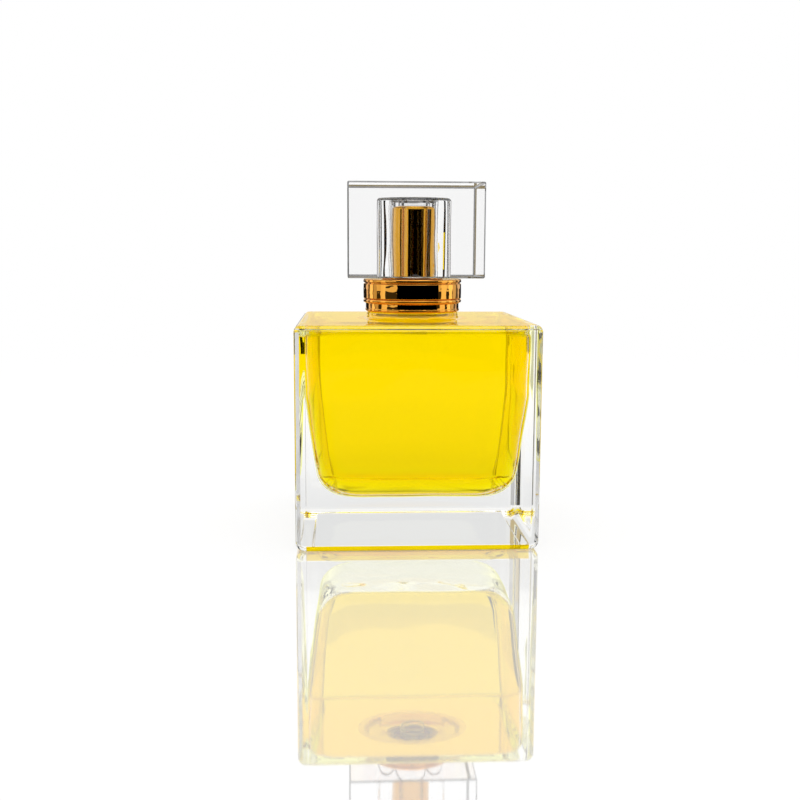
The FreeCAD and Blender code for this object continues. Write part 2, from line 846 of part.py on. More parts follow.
for item in doc.Objects:
    if "Invalid" in item.State or "Error" in item.State:
        raise RuntimeError(f"{item.Name} failed to rebuild: {item.State}")
for piece in pieces:
    shape = piece.Shape
    if shape.isNull() or not shape.isValid() or len(shape.Solids) != 1:
        raise RuntimeError(f"{piece.Label} is not one valid solid ({len(shape.Solids)} solids)")

os.makedirs("parts", exist_ok=True)
for piece in pieces:
    piece.Shape.exportStep(f"parts/{piece.Label}.step")
    box = piece.Shape.BoundBox
    print(f"{piece.Label:20s} volume {piece.Shape.Volume:9.1f}  z {box.ZMin:6.2f} to {box.ZMax:6.2f}")
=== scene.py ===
import math

import bmesh
import bpy
from mathutils import Matrix, Vector, noise

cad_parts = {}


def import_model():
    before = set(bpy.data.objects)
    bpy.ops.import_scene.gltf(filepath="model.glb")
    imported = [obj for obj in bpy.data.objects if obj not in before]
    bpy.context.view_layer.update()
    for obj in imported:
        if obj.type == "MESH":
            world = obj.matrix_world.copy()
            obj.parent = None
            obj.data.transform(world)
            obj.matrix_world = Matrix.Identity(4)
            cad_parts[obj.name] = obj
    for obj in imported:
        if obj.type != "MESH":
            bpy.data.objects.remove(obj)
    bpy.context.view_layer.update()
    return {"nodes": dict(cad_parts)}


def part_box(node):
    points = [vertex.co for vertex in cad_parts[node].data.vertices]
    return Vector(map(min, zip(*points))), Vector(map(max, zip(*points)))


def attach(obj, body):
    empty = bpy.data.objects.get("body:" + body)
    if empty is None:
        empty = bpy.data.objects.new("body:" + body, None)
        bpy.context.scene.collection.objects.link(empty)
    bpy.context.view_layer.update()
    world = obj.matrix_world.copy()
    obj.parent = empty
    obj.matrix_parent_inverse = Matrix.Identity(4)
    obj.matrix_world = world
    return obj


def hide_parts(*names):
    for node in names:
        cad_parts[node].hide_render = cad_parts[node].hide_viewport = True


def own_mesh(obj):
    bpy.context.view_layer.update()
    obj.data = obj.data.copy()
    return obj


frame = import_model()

MM = 0.001

# Sizes in millimetres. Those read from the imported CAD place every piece; the others shape it in between.


def cad(node):
    """Half width, lowest and highest level of a CAD node, in millimetres."""
    low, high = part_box(node)
    return high[0] / MM, low[2] / MM, high[2] / MM


GLASS_HALF, _, LIP_LEVEL = cad("glass_bottle")
COLLAR_RADIUS, BASE_RING_LEVEL, BASE_RING_TOP = cad("collar_base_ring")
COLLAR_TOP = cad("collar_shell")[2]
CAP_HALF, CAP_LEVEL, CAP_TOP = cad("cap_block")
LINER_RADIUS, LINER_LEVEL, LINER_TOP = cad("cap_liner")
PLUG_RADIUS, _, CAP_ROOF = cad("cap_plug")
_, LIQUID_FLOOR, LIQUID_TOP = cad("aftershave_liquid")
_, SPRING_FOOT, SPRING_TOP = cad("return_spring")

BLOCK_CORNER = 2.5
SHOULDER = 51.8
PEDESTAL_TOP = 53.5
PEDESTAL_RADIUS = 11.2
NECK_RADIUS = 6.7
LIP_RADIUS = 7.5
BEAD_LEVEL = 55.4
BORE_RADIUS = 4.75
THROAT_RADIUS = 8.2
THROAT_LEVEL = 51.6
THROAT_TOP = 53.2
WATERLINE_RADIUS = 6.5
ROOF = 50.6
FLOOR = LIQUID_FLOOR - 0.1
CAVITY_HALF_LOW = 22.3
CAVITY_HALF_HIGH = 25.8
CAVITY_TAPER = 0.145
WETTING = 0.04
CAP_BORE = 8.95
SPRING_RADIUS = 2.95
SPRING_PITCH = 1.1
WIRE_RADIUS = 0.25

# ---------------------------------------------------------------- mesh building

FLAT_STEPS = 14
ARC_STEPS = 12
SOFT_STEPS = 8
LATHE_STEPS = 144
WIRE_STEPS = 12
COIL_STEPS = 24
QUARTER_STEPS = 2 * FLAT_STEPS + ARC_STEPS
RING_STEPS = 4 * QUARTER_STEPS


def circle(radius, level, steps=RING_STEPS):
    """Ring of points on a circle about the Z axis."""
    turns = [math.tau * step / steps for step in range(steps)]
    return [Vector((radius * math.cos(turn), radius * math.sin(turn), level)) for turn in turns]


def square(half, corner, level):
    """Ring of points on a square with round corners."""
    flat = half - corner
    ring = []
    for quarter in range(4):
        turn = Matrix.Rotation(quarter * math.pi / 2, 3, "Z")
        for step in range(QUARTER_STEPS):
            if step < FLAT_STEPS:
                point = Vector((half, flat * step / FLAT_STEPS, level))
            elif step < FLAT_STEPS + ARC_STEPS:
                angle = math.pi / 2 * (step - FLAT_STEPS) / ARC_STEPS
                point = Vector((flat + corner * math.cos(angle), flat + corner * math.sin(angle), level))
            else:
                left = (QUARTER_STEPS - step) / FLAT_STEPS
                point = Vector((flat * left, half, level))
            ring.append(turn @ point)
    return ring


def soften(points, loop=False):
    """Path of (reach, level) points whose corners are arcs; each point gives (reach, level, arc radius)."""
    path = []
    count = len(points)
    for index, (reach, level, radius) in enumerate(points):
        here = Vector((reach, level))
        inner = loop or 0 < index < count - 1
        if radius == 0 or not inner:
            path.append(here)
            continue
        back = (Vector(points[index - 1][:2]) - here).normalized()
        ahead = (Vector(points[(index + 1) % count][:2]) - here).normalized()
        half_angle = back.angle(ahead) / 2
        start = here + back * radius / math.tan(half_angle)
        end = here + ahead * radius / math.tan(half_angle)
        centre = here + (back + ahead).normalized() * radius / math.sin(half_angle)
        for step in range(SOFT_STEPS + 1):
            arm = (start - centre).slerp(end - centre, step / SOFT_STEPS)
            path.append(centre + arm * radius)
    return path


def new_piece(name, mesh, body, material, replaces):
    """Shown object that rides on a body and stands for CAD nodes."""
    piece = bpy.data.objects.new(name, mesh)
    bpy.context.scene.collection.objects.link(piece)
    piece.data.materials.append(material)
    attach(piece, body)
    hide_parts(*replaces)
    return piece


def skin(name, rings, loop=False, paint=None):
    """Closed smooth mesh through rings of equal length, given in millimetres, shut at the ends by fans.

    paint(number, middle) gives a face's material index from its ring number and its middle in millimetres.
    """
    build = bmesh.new()
    rows = [[build.verts.new(point * MM) for point in ring] for ring in rings]
    pairs = list(zip(rows, rows[1:] + rows[:1])) if loop else list(zip(rows, rows[1:]))
    numbered = []
    for number, (lower, upper) in enumerate(pairs):
        for step in range(len(lower)):
            after = (step + 1) % len(lower)
            numbered.append((number, build.faces.new((lower[step], lower[after], upper[after], upper[step]))))
    if not loop:
        for number, row in ((0, rows[0]), (len(rows), rows[-1])):
            middle = build.verts.new(sum((vert.co for vert in row), Vector()) / len(row))
            for step in range(len(row)):
                numbered.append((number, build.faces.new((row[step], row[(step + 1) % len(row)], middle))))
    if paint:
        for number, face in numbered:
            face.material_index = paint(number, face.calc_center_median() / MM)
    bmesh.ops.recalc_face_normals(build, faces=build.faces)
    mesh = bpy.data.meshes.new(name)
    build.to_mesh(mesh)
    build.free()
    mesh.shade_smooth()
    mesh.set_sharp_from_angle(angle=math.radians(40))
    return mesh


def steady_normals(piece):
    """Keeps flat faces flat beside their rounded edges."""
    weigh = piece.modifiers.new("weigh", "WEIGHTED_NORMAL")
    weigh.weight = 80
    weigh.keep_sharp = True


def lathe(points, loop=True):
    """Rings of a round piece turned from an outline."""
    return [circle(point.x, point.y, LATHE_STEPS) for point in soften(points, loop)]


# ---------------------------------------------------------------- materials


def new_material(name):
    """Material with a Principled shader, and its shader and output nodes."""
    material = bpy.data.materials.new(name)
    material.use_nodes = True
    nodes = material.node_tree.nodes
    nodes.clear()
    output = nodes.new("ShaderNodeOutputMaterial")
    shader = nodes.new("ShaderNodeBsdfPrincipled")
    material.node_tree.links.new(shader.outputs["BSDF"], output.inputs["Surface"])
    return material, shader, output


def noise_field(material, size, stretch=(1, 1, 1), detail=3.0):
    """Noise over the object's own space; size is its grain in metres."""
    nodes, links = material.node_tree.nodes, material.node_tree.links
    place = nodes.new("ShaderNodeTexCoord")
    scale = nodes.new("ShaderNodeMapping")
    scale.inputs["Scale"].default_value = stretch
    grain = nodes.new("ShaderNodeTexNoise")
    grain.inputs["Scale"].default_value = 1 / size
    grain.inputs["Detail"].default_value = detail
    links.new(place.outputs["Object"], scale.inputs["Vector"])
    links.new(scale.outputs["Vector"], grain.inputs["Vector"])
    return grain.outputs["Fac"]


def add_bump(material, shader, field, depth):
    """Waviness of a surface; depth is in metres."""
    bump = material.node_tree.nodes.new("ShaderNodeBump")
    bump.inputs["Distance"].default_value = depth
    bump.inputs["Strength"].default_value = 1.0
    material.node_tree.links.new(field, bump.inputs["Height"])
    material.node_tree.links.new(bump.outputs["Normal"], shader.inputs["Normal"])


def ramp(material, field, low, high):
    """Colour or value that runs from low to high with a field."""
    node = material.node_tree.nodes.new("ShaderNodeValToRGB")
    node.color_ramp.elements[0].color = (*low, 1)
    node.color_ramp.elements[1].color = (*high, 1)
    node.color_ramp.elements[0].position = 0.3
    node.color_ramp.elements[1].position = 0.7
    material.node_tree.links.new(field, node.inputs["Fac"])
    return node.outputs["Color"]


def stepped_ramp(nodes, stops):
    """Colour ramp with its (position, colour) stops."""
    node = nodes.new("ShaderNodeValToRGB")
    while len(node.color_ramp.elements) < len(stops):
        node.color_ramp.elements.new(1.0)
    for element, (position, colour) in zip(node.color_ramp.elements, stops):
        element.position = position
        element.color = (*colour, 1)
    return node


def grey(level):
    return (level, level, level)


def clear(name, ior, tint, grain, depth, alpha=1.0):
    """Clear moulded material with the faint waviness of a moulded surface."""
    material, shader, _ = new_material(name)
    shader.inputs["Base Color"].default_value = (*tint, 1)
    shader.inputs["Transmission Weight"].default_value = 1
    shader.inputs["Roughness"].default_value = 0
    shader.inputs["IOR"].default_value = ior
    shader.inputs["Alpha"].default_value = alpha
    add_bump(material, shader, noise_field(material, grain), depth)
    return material


def liquid_material():
    """Yellow dye alone: the wetted glass does the bending, with the index of glass against the liquid."""
    material, shader, output = new_material("yellow_liquid")
    shader.inputs["Base Color"].default_value = (1, 1, 1, 1)
    shader.inputs["Transmission Weight"].default_value = 1
    shader.inputs["Roughness"].default_value = 0
    shader.inputs["IOR"].default_value = 1.0
    depth = material.node_tree.nodes.new("ShaderNodeVolumeAbsorption")
    depth.inputs["Color"].default_value = (1.0, 0.9938, 0.0, 1)
    depth.inputs["Density"].default_value = 640
    material.node_tree.links.new(depth.outputs["Volume"], output.inputs["Volume"])
    return material


def painted_glow_glass():
    """Painted glow: amber glass in the front foot edge and the neck's seat, standing in for the liquid's
    yellow glow that the clear glass shows there.
    """
    material, shader, _ = new_material("bottle_glass_painted_glow")
    field = noise_field(material, 0.006, (0.5, 0.5, 4))
    links = material.node_tree.links
    links.new(ramp(material, field, (0.90, 0.46, 0.0), (1.0, 0.68, 0.0)), shader.inputs["Base Color"])
    shader.inputs["Transmission Weight"].default_value = 0.75
    shader.inputs["Roughness"].default_value = 0
    shader.inputs["IOR"].default_value = 1.51
    add_bump(material, shader, field, 0.00001)
    return material


def wetted_glass_painted_outlines():
    """Inner wall under the liquid, tinted pale yellow, with painted shade at grazing angles: amber to dark
    brown, standing in for the dark outlines the real wall shows.
    """
    material, shader, _ = new_material("wetted_glass_painted_outlines")
    nodes, links = material.node_tree.nodes, material.node_tree.links
    slant = nodes.new("ShaderNodeLayerWeight")
    slant.inputs["Blend"].default_value = 0.5
    # Painted shade: amber, then dark brown, as the wall is seen more edge-on.
    tint = stepped_ramp(nodes, (
        (0.76, (1, 0.89, 0.5)), (0.89, (0.92, 0.64, 0.10)), (0.955, (0.30, 0.16, 0.01)),
    ))
    links.new(slant.outputs["Facing"], tint.inputs["Fac"])
    links.new(tint.outputs["Color"], shader.inputs["Base Color"])
    shader.inputs["Transmission Weight"].default_value = 1
    shader.inputs["Roughness"].default_value = 0
    shader.inputs["IOR"].default_value = 1.10
    add_bump(material, shader, noise_field(material, 0.012), 0.00002)
    return material


def painted_dark_edge(name, ior, alpha, pale):
    """Painted shade: grey, partly see-through polished faces that stand in for the dark lines refraction
    draws along edges.
    """
    material, shader, _ = new_material(name)
    field = noise_field(material, 0.006)
    links = material.node_tree.links
    links.new(ramp(material, field, grey(0.01), grey(pale)), shader.inputs["Base Color"])
    shader.inputs["Roughness"].default_value = 0.3
    shader.inputs["IOR"].default_value = ior
    shader.inputs["Alpha"].default_value = alpha
    return material


def gold(name, low, high, grain, stretch, depth):
    """Mirror-polished gold with slight colour drift and a faintly uneven surface."""
    material, shader, _ = new_material(name)
    shader.inputs["Metallic"].default_value = 1
    field = noise_field(material, 0.004, (1, 1, 0.2))
    material.node_tree.links.new(ramp(material, field, low, high), shader.inputs["Base Color"])
    shader.inputs["Roughness"].default_value = 0
    add_bump(material, shader, noise_field(material, grain, stretch, 1.0), depth)
    return material


def plastic(name, low, high, roughness=0.4):
    """Opaque moulding or elastomer with a soft sheen."""
    material, shader, _ = new_material(name)
    field = noise_field(material, 0.002)
    material.node_tree.links.new(ramp(material, field, low, high), shader.inputs["Base Color"])
    shader.inputs["Roughness"].default_value = roughness
    shader.inputs["Subsurface Weight"].default_value = 0.1
    shader.inputs["Subsurface Radius"].default_value = (0.002, 0.002, 0.002)
    return material


def steel():
    """Drawn stainless wire."""
    material, shader, _ = new_material("spring_steel")
    field = noise_field(material, 0.0008, (1, 1, 4))
    material.node_tree.links.new(ramp(material, field, grey(0.42), grey(0.62)), shader.inputs["Base Color"])
    shader.inputs["Metallic"].default_value = 1
    shader.inputs["Roughness"].default_value = 0.28
    return material


GLASS = clear("bottle_glass", 1.51, (0.985, 0.99, 0.985), 0.016, 0.00002)
WET_GLASS_PAINTED_OUTLINES = wetted_glass_painted_outlines()
GLASS_PAINTED_LINE = painted_dark_edge("bottle_glass_painted_line", 1.51, 0.45, 0.34)
PAINTED_GLOW_GLASS = painted_glow_glass()
ACRYLIC = clear("cap_acrylic", 1.49, (0.99, 0.99, 0.99), 0.02, 0.00001)
ACRYLIC_PAINTED_EDGE = painted_dark_edge("cap_acrylic_painted_edge", 1.49, 0.75, 0.16)
BOND = clear("bond_acrylic", 1.49, (0.95, 0.95, 0.95), 0.003, 0.00002)
BURIED = clear("clear_moulding", 1.02, (0.985, 0.985, 0.98), 0.003, 0.00001, 0.06)
BALL = clear("ball_glass", 1.03, (0.98, 0.98, 0.98), 0.003, 0.00001, 0.06)
LIQUID = liquid_material()
LINER_GOLD = gold("liner_gold", (0.66, 0.33, 0.03), (0.78, 0.43, 0.05), 0.0022, (1, 1, 0.05), 0.00004)
COLLAR_GOLD = gold("collar_gold", (0.72, 0.30, 0.04), (0.86, 0.42, 0.07), 0.0028, (1, 1, 2), 0.00006)
WHITE = plastic("white_moulding", (0.80, 0.80, 0.77), (0.86, 0.86, 0.84))
RUBBER = plastic("seal_rubber", (0.62, 0.62, 0.58), (0.70, 0.70, 0.67), 0.6)
STEEL = steel()

# ---------------------------------------------------------------- glass and liquid


def eased(value):
    """Smooth step from 0 to 1."""
    value = min(max(value, 0.0), 1.0)
    return value * value * (3 - 2 * value)


def wall_half(level):
    """Half width of the cavity: tapered in its lower three fifths, upright above."""
    return min(CAVITY_HALF_LOW + CAVITY_TAPER * max(level - FLOOR, 0), CAVITY_HALF_HIGH)


def blown(point):
    """Uneven inner wall of blown glass: a wider right side near the floor, a floor that falls to the back."""
    side = point.x / GLASS_HALF
    depth = point.y / GLASS_HALF
    above = eased((point.z - FLOOR) / 4)
    below = eased((ROOF - point.z) / 1.5)
    lean = 0.45 * eased(side) * eased((38 - point.z) / 20)
    ripple = noise.noise(Vector((point.x / 14, point.y / 14, point.z / 9))) * 0.35
    fall = Vector((0, 0, 1)) * (-0.45 * depth + 0.3 * noise.noise(Vector((point.x / 9, point.y / 9, 3.0))))
    out = Vector((side, depth, 0))
    push = out.normalized() * (lean + ripple * above) * below if out.length > 0.05 else Vector()
    return point + push + fall * eased((FLOOR + 9 - point.z) / 8)


def cavity_rings(grow):
    """Rings of the cavity's skin from its roof to its floor; grow moves it outward."""
    roof_arc = 1.8
    floor_arc = 6.0
    corner = 7.0
    rings = []
    top = ROOF + grow
    bottom = FLOOR - grow
    steps = 8
    for step in range(steps + 1):
        angle = math.pi / 2 * (1 - step / steps)
        level = top - roof_arc * (1 - math.sin(angle))
        inset = roof_arc * (1 - math.cos(angle))
        rings.append(square(wall_half(level) + grow - inset, corner - 0.5 * inset, level))
    rows = 34
    upper, lower = top - roof_arc, bottom + floor_arc
    for row in range(1, rows):
        level = upper + (lower - upper) * row / rows
        rings.append(square(wall_half(level) + grow, corner, level))
    steps = 14
    for step in range(steps + 1):
        angle = math.pi / 2 * step / steps
        level = bottom + floor_arc * (1 - math.sin(angle))
        inset = floor_arc * (1 - math.cos(angle))
        rings.append(square(wall_half(level) + grow - inset, corner - 0.5 * inset, level))
    for share in (0.75, 0.5, 0.25):
        rings.append(square((wall_half(bottom) - floor_arc) * share, 1.0, bottom))
    return [[blown(point) for point in ring] for ring in rings]


def block_rings(points, half, corner):
    """Square rings along an outline; the plan's corner shrinks as the outline steps in from half."""
    return [square(point.x, max(corner - (half - point.x), 0.3), point.y) for point in soften(points)]


def thin_line(middle, half, corner):
    """True for a face in the narrow strip down the middle of a round vertical corner of a square block."""
    flat = half - corner
    across = Vector((abs(middle.x) - flat, abs(middle.y) - flat))
    if across.x <= 0 or across.y <= 0:
        return False
    return abs(math.degrees(math.atan2(across.y, across.x)) - 45) < 12


def throat_rings(grow):
    """Wetted rings under the neck, from the liquid's surface out to the cavity's roof."""
    return [circle(point.x, point.y) for point in soften([
        (WATERLINE_RADIUS + grow, LIQUID_TOP, 0),
        (THROAT_RADIUS + grow, THROAT_LEVEL, 0.4),
        (THROAT_RADIUS + grow, ROOF + grow, 0.4),
        (THROAT_RADIUS + 2, ROOF + grow, 0),
    ])]


def glass_bottle():
    """One closed skin: foot recess, block, shoulder, pedestal, crimp neck, bore, throat and cavity."""
    recess_half = 24.3
    recess_depth = 0.8
    outside = block_rings([
        (2.0, recess_depth, 0),
        (recess_half - 0.2, recess_depth, 0.5),
        (recess_half, 0.0, 0.25),
        (GLASS_HALF, 0.0, 2.0),
        (GLASS_HALF, SHOULDER, 1.6),
        (PEDESTAL_RADIUS + 4, SHOULDER, 0),
    ], GLASS_HALF, BLOCK_CORNER)
    neck = [circle(point.x, point.y) for point in soften([
        (PEDESTAL_RADIUS + 2.5, SHOULDER, 0),
        (PEDESTAL_RADIUS, SHOULDER, 1.2),
        (PEDESTAL_RADIUS, PEDESTAL_TOP, 0.4),
        (NECK_RADIUS, PEDESTAL_TOP, 0.3),
        (NECK_RADIUS, BEAD_LEVEL - 0.5, 0.2),
        (LIP_RADIUS, BEAD_LEVEL, 0.2),
        (LIP_RADIUS, LIP_LEVEL, 0.5),
        (BORE_RADIUS, LIP_LEVEL, 0.5),
        (BORE_RADIUS, THROAT_TOP, 0.4),
        (WATERLINE_RADIUS - 0.3, LIQUID_TOP + 0.14, 0),
    ])]
    wet = throat_rings(0) + cavity_rings(0)
    shoulder_row = max(row for row in range(len(outside)) if outside[row][0].z < SHOULDER - 0.9)
    materials = (GLASS, WET_GLASS_PAINTED_OUTLINES, GLASS_PAINTED_LINE, PAINTED_GLOW_GLASS)

    def paint(number, middle):
        if number >= len(outside + neck):
            return materials.index(WET_GLASS_PAINTED_OUTLINES)
        # Painted glow: the front foot edge, and below it the neck's seat, take amber glass for the liquid's
        # yellow glow.
        if middle.z < 1.7 and middle.y < -26.3 and abs(middle.x) < recess_half + 0.3:
            return materials.index(PAINTED_GLOW_GLASS)
        in_seat = SHOULDER - 0.1 < middle.z < PEDESTAL_TOP + 0.1 and middle.to_2d().length > 8
        if number >= len(outside) and in_seat:
            return materials.index(PAINTED_GLOW_GLASS)
        # Painted shade: the shoulder's ring and a strip down each round vertical corner take the grey line
        # material for the dark lines refraction draws there.
        if number == shoulder_row and 3 < middle.z < SHOULDER - 0.2:
            return materials.index(GLASS_PAINTED_LINE)
        if number < len(outside) and 3 < middle.z < 49 and thin_line(middle, GLASS_HALF, BLOCK_CORNER):
            return materials.index(GLASS_PAINTED_LINE)
        return materials.index(GLASS)

    mesh = skin("glass_bottle_skin", outside + neck + wet, paint=paint)
    piece = new_piece("bottle_glass_body", mesh, "bottle", GLASS, ["glass_bottle"])
    for material in materials[1:]:
        piece.data.materials.append(material)
    steady_normals(piece)


def liquid_body():
    """Liquid that wets the glass: its skin lies a hair outside the cavity's."""
    lid = [circle(radius, LIQUID_TOP) for radius in (2.0, 4.0, 6.0)]
    mesh = skin("liquid_skin", lid + throat_rings(WETTING) + cavity_rings(WETTING))
    piece = new_piece("liquid_body", mesh, "bottle", LIQUID, ["aftershave_liquid"])
    steady_normals(piece)


# ---------------------------------------------------------------- cap


def uneven(point):
    """Moulded bore: its wall wanders inward by at most 0.16 mm."""
    out = Vector((point.x, point.y, 0))
    if out.length < CAP_BORE - 0.1:
        return point
    wander = noise.noise(Vector((point.x / 5, point.y / 5, point.z / 12)))
    inward = -0.16 * abs(wander) * eased((point.z - CAP_LEVEL) / 0.5) * eased((CAP_ROOF - point.z) / 2)
    return point + out.normalized() * inward


def cap_block():
    """Clear block with a blind bore; its fine edges and a band round the bore's roof carry painted dark
    shade.
    """
    edge = 0.4
    outside = block_rings([
        (1.0, CAP_TOP, 0),
        (CAP_HALF, CAP_TOP, edge),
        (CAP_HALF, CAP_LEVEL, edge),
        (CAP_BORE + 1.5, CAP_LEVEL, 0),
    ], CAP_HALF, 0.35)
    levels = [CAP_ROOF - 0.9 + (CAP_LEVEL + 1.3 - CAP_ROOF) * row / 16 for row in range(16)]
    bore = [circle(point.x, point.y) for point in soften([
        (CAP_BORE + 1.0, CAP_LEVEL, 0),
        (CAP_BORE, CAP_LEVEL, 0.2),
        (CAP_BORE, levels[-1], 0),
    ])]
    bore += [circle(CAP_BORE, level) for level in reversed(levels[1:-1])]
    bore += [circle(point.x, point.y) for point in soften([
        (CAP_BORE, levels[0], 0),
        (CAP_BORE, CAP_ROOF, 0.9),
        (1.0, CAP_ROOF, 0),
    ])[1:]]
    bore = [[uneven(point) for point in ring] for ring in bore]

    def paint(number, middle):
        near_top = middle.z > CAP_TOP - edge or middle.z < CAP_LEVEL + edge
        wide, narrow = sorted((abs(middle.x), abs(middle.y)), reverse=True)
        # Painted shade: the rounded edges, and a band round the bore's roof, take the grey edge material for
        # the dark lines refraction draws there.
        if number < len(outside) and wide > CAP_HALF - edge and (near_top or narrow > CAP_HALF - edge):
            return 1
        if number > len(outside) + 12 and CAP_ROOF - 0.8 < middle.z < CAP_ROOF - 0.1:
            return 1
        return 0

    mesh = skin("cap_block_skin", outside + bore, paint=paint)
    piece = new_piece("cap_block_body", mesh, "cap", ACRYLIC, ["cap_block"])
    piece.data.materials.append(ACRYLIC_PAINTED_EDGE)
    steady_normals(piece)


def cap_liner():
    """Thin gold cup, closed at the top."""
    wall = 0.4
    mesh = skin("cap_liner_skin", lathe([
        (0.5, LINER_TOP - wall, 0),
        (LINER_RADIUS - wall, LINER_TOP - wall, 0.4),
        (LINER_RADIUS - wall, LINER_LEVEL, 0.15),
        (LINER_RADIUS, LINER_LEVEL, 0.15),
        (LINER_RADIUS, LINER_TOP, 0.7),
        (0.5, LINER_TOP, 0),
    ], loop=False))
    piece = new_piece("cap_gold_cup", mesh, "cap", LINER_GOLD, ["cap_liner"])
    steady_normals(piece)


def cap_plug():
    """Clear disc between the cup and the bore's roof."""
    mesh = skin("cap_plug_skin", lathe([
        (0.5, LINER_TOP, 0),
        (PLUG_RADIUS, LINER_TOP, 0.2),
        (PLUG_RADIUS, CAP_ROOF - 0.02, 0.2),
        (0.5, CAP_ROOF - 0.02, 0),
    ], loop=False))
    piece = new_piece("cap_bond_disc", mesh, "cap", BOND, ["cap_plug"])
    steady_normals(piece)


# ---------------------------------------------------------------- collar


def collar_shell():
    """Main band with a thin top flange over a groove."""
    radius = COLLAR_RADIUS
    mesh = skin("collar_shell_skin", lathe([
        (6.95, COLLAR_TOP, 0.1),
        (6.95, COLLAR_TOP - 0.4, 0.1),
        (radius - 0.6, COLLAR_TOP - 0.4, 0.1),
        (radius - 0.6, BASE_RING_TOP, 0.1),
        (radius - 0.04, BASE_RING_TOP, 0.2),
        (radius, (BASE_RING_TOP + COLLAR_TOP - 1.15) / 2, 20.0),
        (radius - 0.04, COLLAR_TOP - 1.15, 0.18),
        (radius - 0.3, COLLAR_TOP - 1.05, 0.08),
        (radius - 0.3, COLLAR_TOP - 0.85, 0.08),
        (radius, COLLAR_TOP - 0.75, 0.15),
        (radius, COLLAR_TOP, 0.3),
    ]), loop=True)
    piece = new_piece("collar_band", mesh, "bottle", COLLAR_GOLD, ["collar_shell"])
    steady_normals(piece)


def collar_base_ring():
    """Rounded bead over a narrower foot that ends in a small rib."""
    mesh = skin("collar_base_skin", lathe([
        (9.15, BASE_RING_LEVEL, 0.1),
        (11.55, BASE_RING_LEVEL, 0.3),
        (11.55, 54.15, 0.2),
        (11.45, 54.3, 0.05),
        (11.45, 55.6, 0.12),
        (COLLAR_RADIUS, 55.6, 0.45),
        (COLLAR_RADIUS, BASE_RING_TOP, 0.45),
        (9.15, BASE_RING_TOP, 0.1),
    ]), loop=True)
    piece = new_piece("collar_foot_ring", mesh, "bottle", COLLAR_GOLD, ["collar_base_ring"])
    steady_normals(piece)


# ---------------------------------------------------------------- spring


def return_spring():
    """Wire coil carried by the pump stem; at rest its foot sits on the housing's shelf."""
    rise = SPRING_TOP - SPRING_FOOT - 2 * WIRE_RADIUS
    steps = round(COIL_STEPS * rise / SPRING_PITCH)
    up = Vector((0, 0, 1))
    wire = [math.tau * part / WIRE_STEPS for part in range(WIRE_STEPS)]
    rings = []
    for step in range(steps + 1):
        turn = math.tau * rise / SPRING_PITCH * step / steps
        out = Vector((math.cos(turn), math.sin(turn), 0))
        centre = SPRING_RADIUS * out + (SPRING_FOOT + WIRE_RADIUS + rise * step / steps) * up
        section = [math.cos(angle) * out + math.sin(angle) * up for angle in wire]
        rings.append([centre + WIRE_RADIUS * arm for arm in section])
    mesh = skin("return_spring_skin", rings)
    piece = new_piece("pump_spring_coil", mesh, "pump_stem", STEEL, ["return_spring"])
    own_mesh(piece)


# ---------------------------------------------------------------- carried-over CAD nodes

NODE_MATERIALS = {
    "pump_housing": BURIED,
    "dip_tube": BURIED,
    "piston": BURIED,
    "inlet_ball": BALL,
    "stem": BURIED,
    "neck_gasket": RUBBER,
    "stem_seal": RUBBER,
    "lock_ring": WHITE,
    "crimp_ferrule": COLLAR_GOLD,
    "actuator_core": WHITE,
    "actuator_sheath": LINER_GOLD,
    "nozzle_insert": WHITE,
    "collar_carrier": WHITE,
    "cap_grip_sleeve": WHITE,
}


def dress_cad_nodes():
    """Gives the CAD nodes that stay their own materials."""
    for name, material in NODE_MATERIALS.items():
        mesh = frame["nodes"][name].data
        for index in range(len(mesh.materials)):
            mesh.materials[index] = material


# ---------------------------------------------------------------- stage


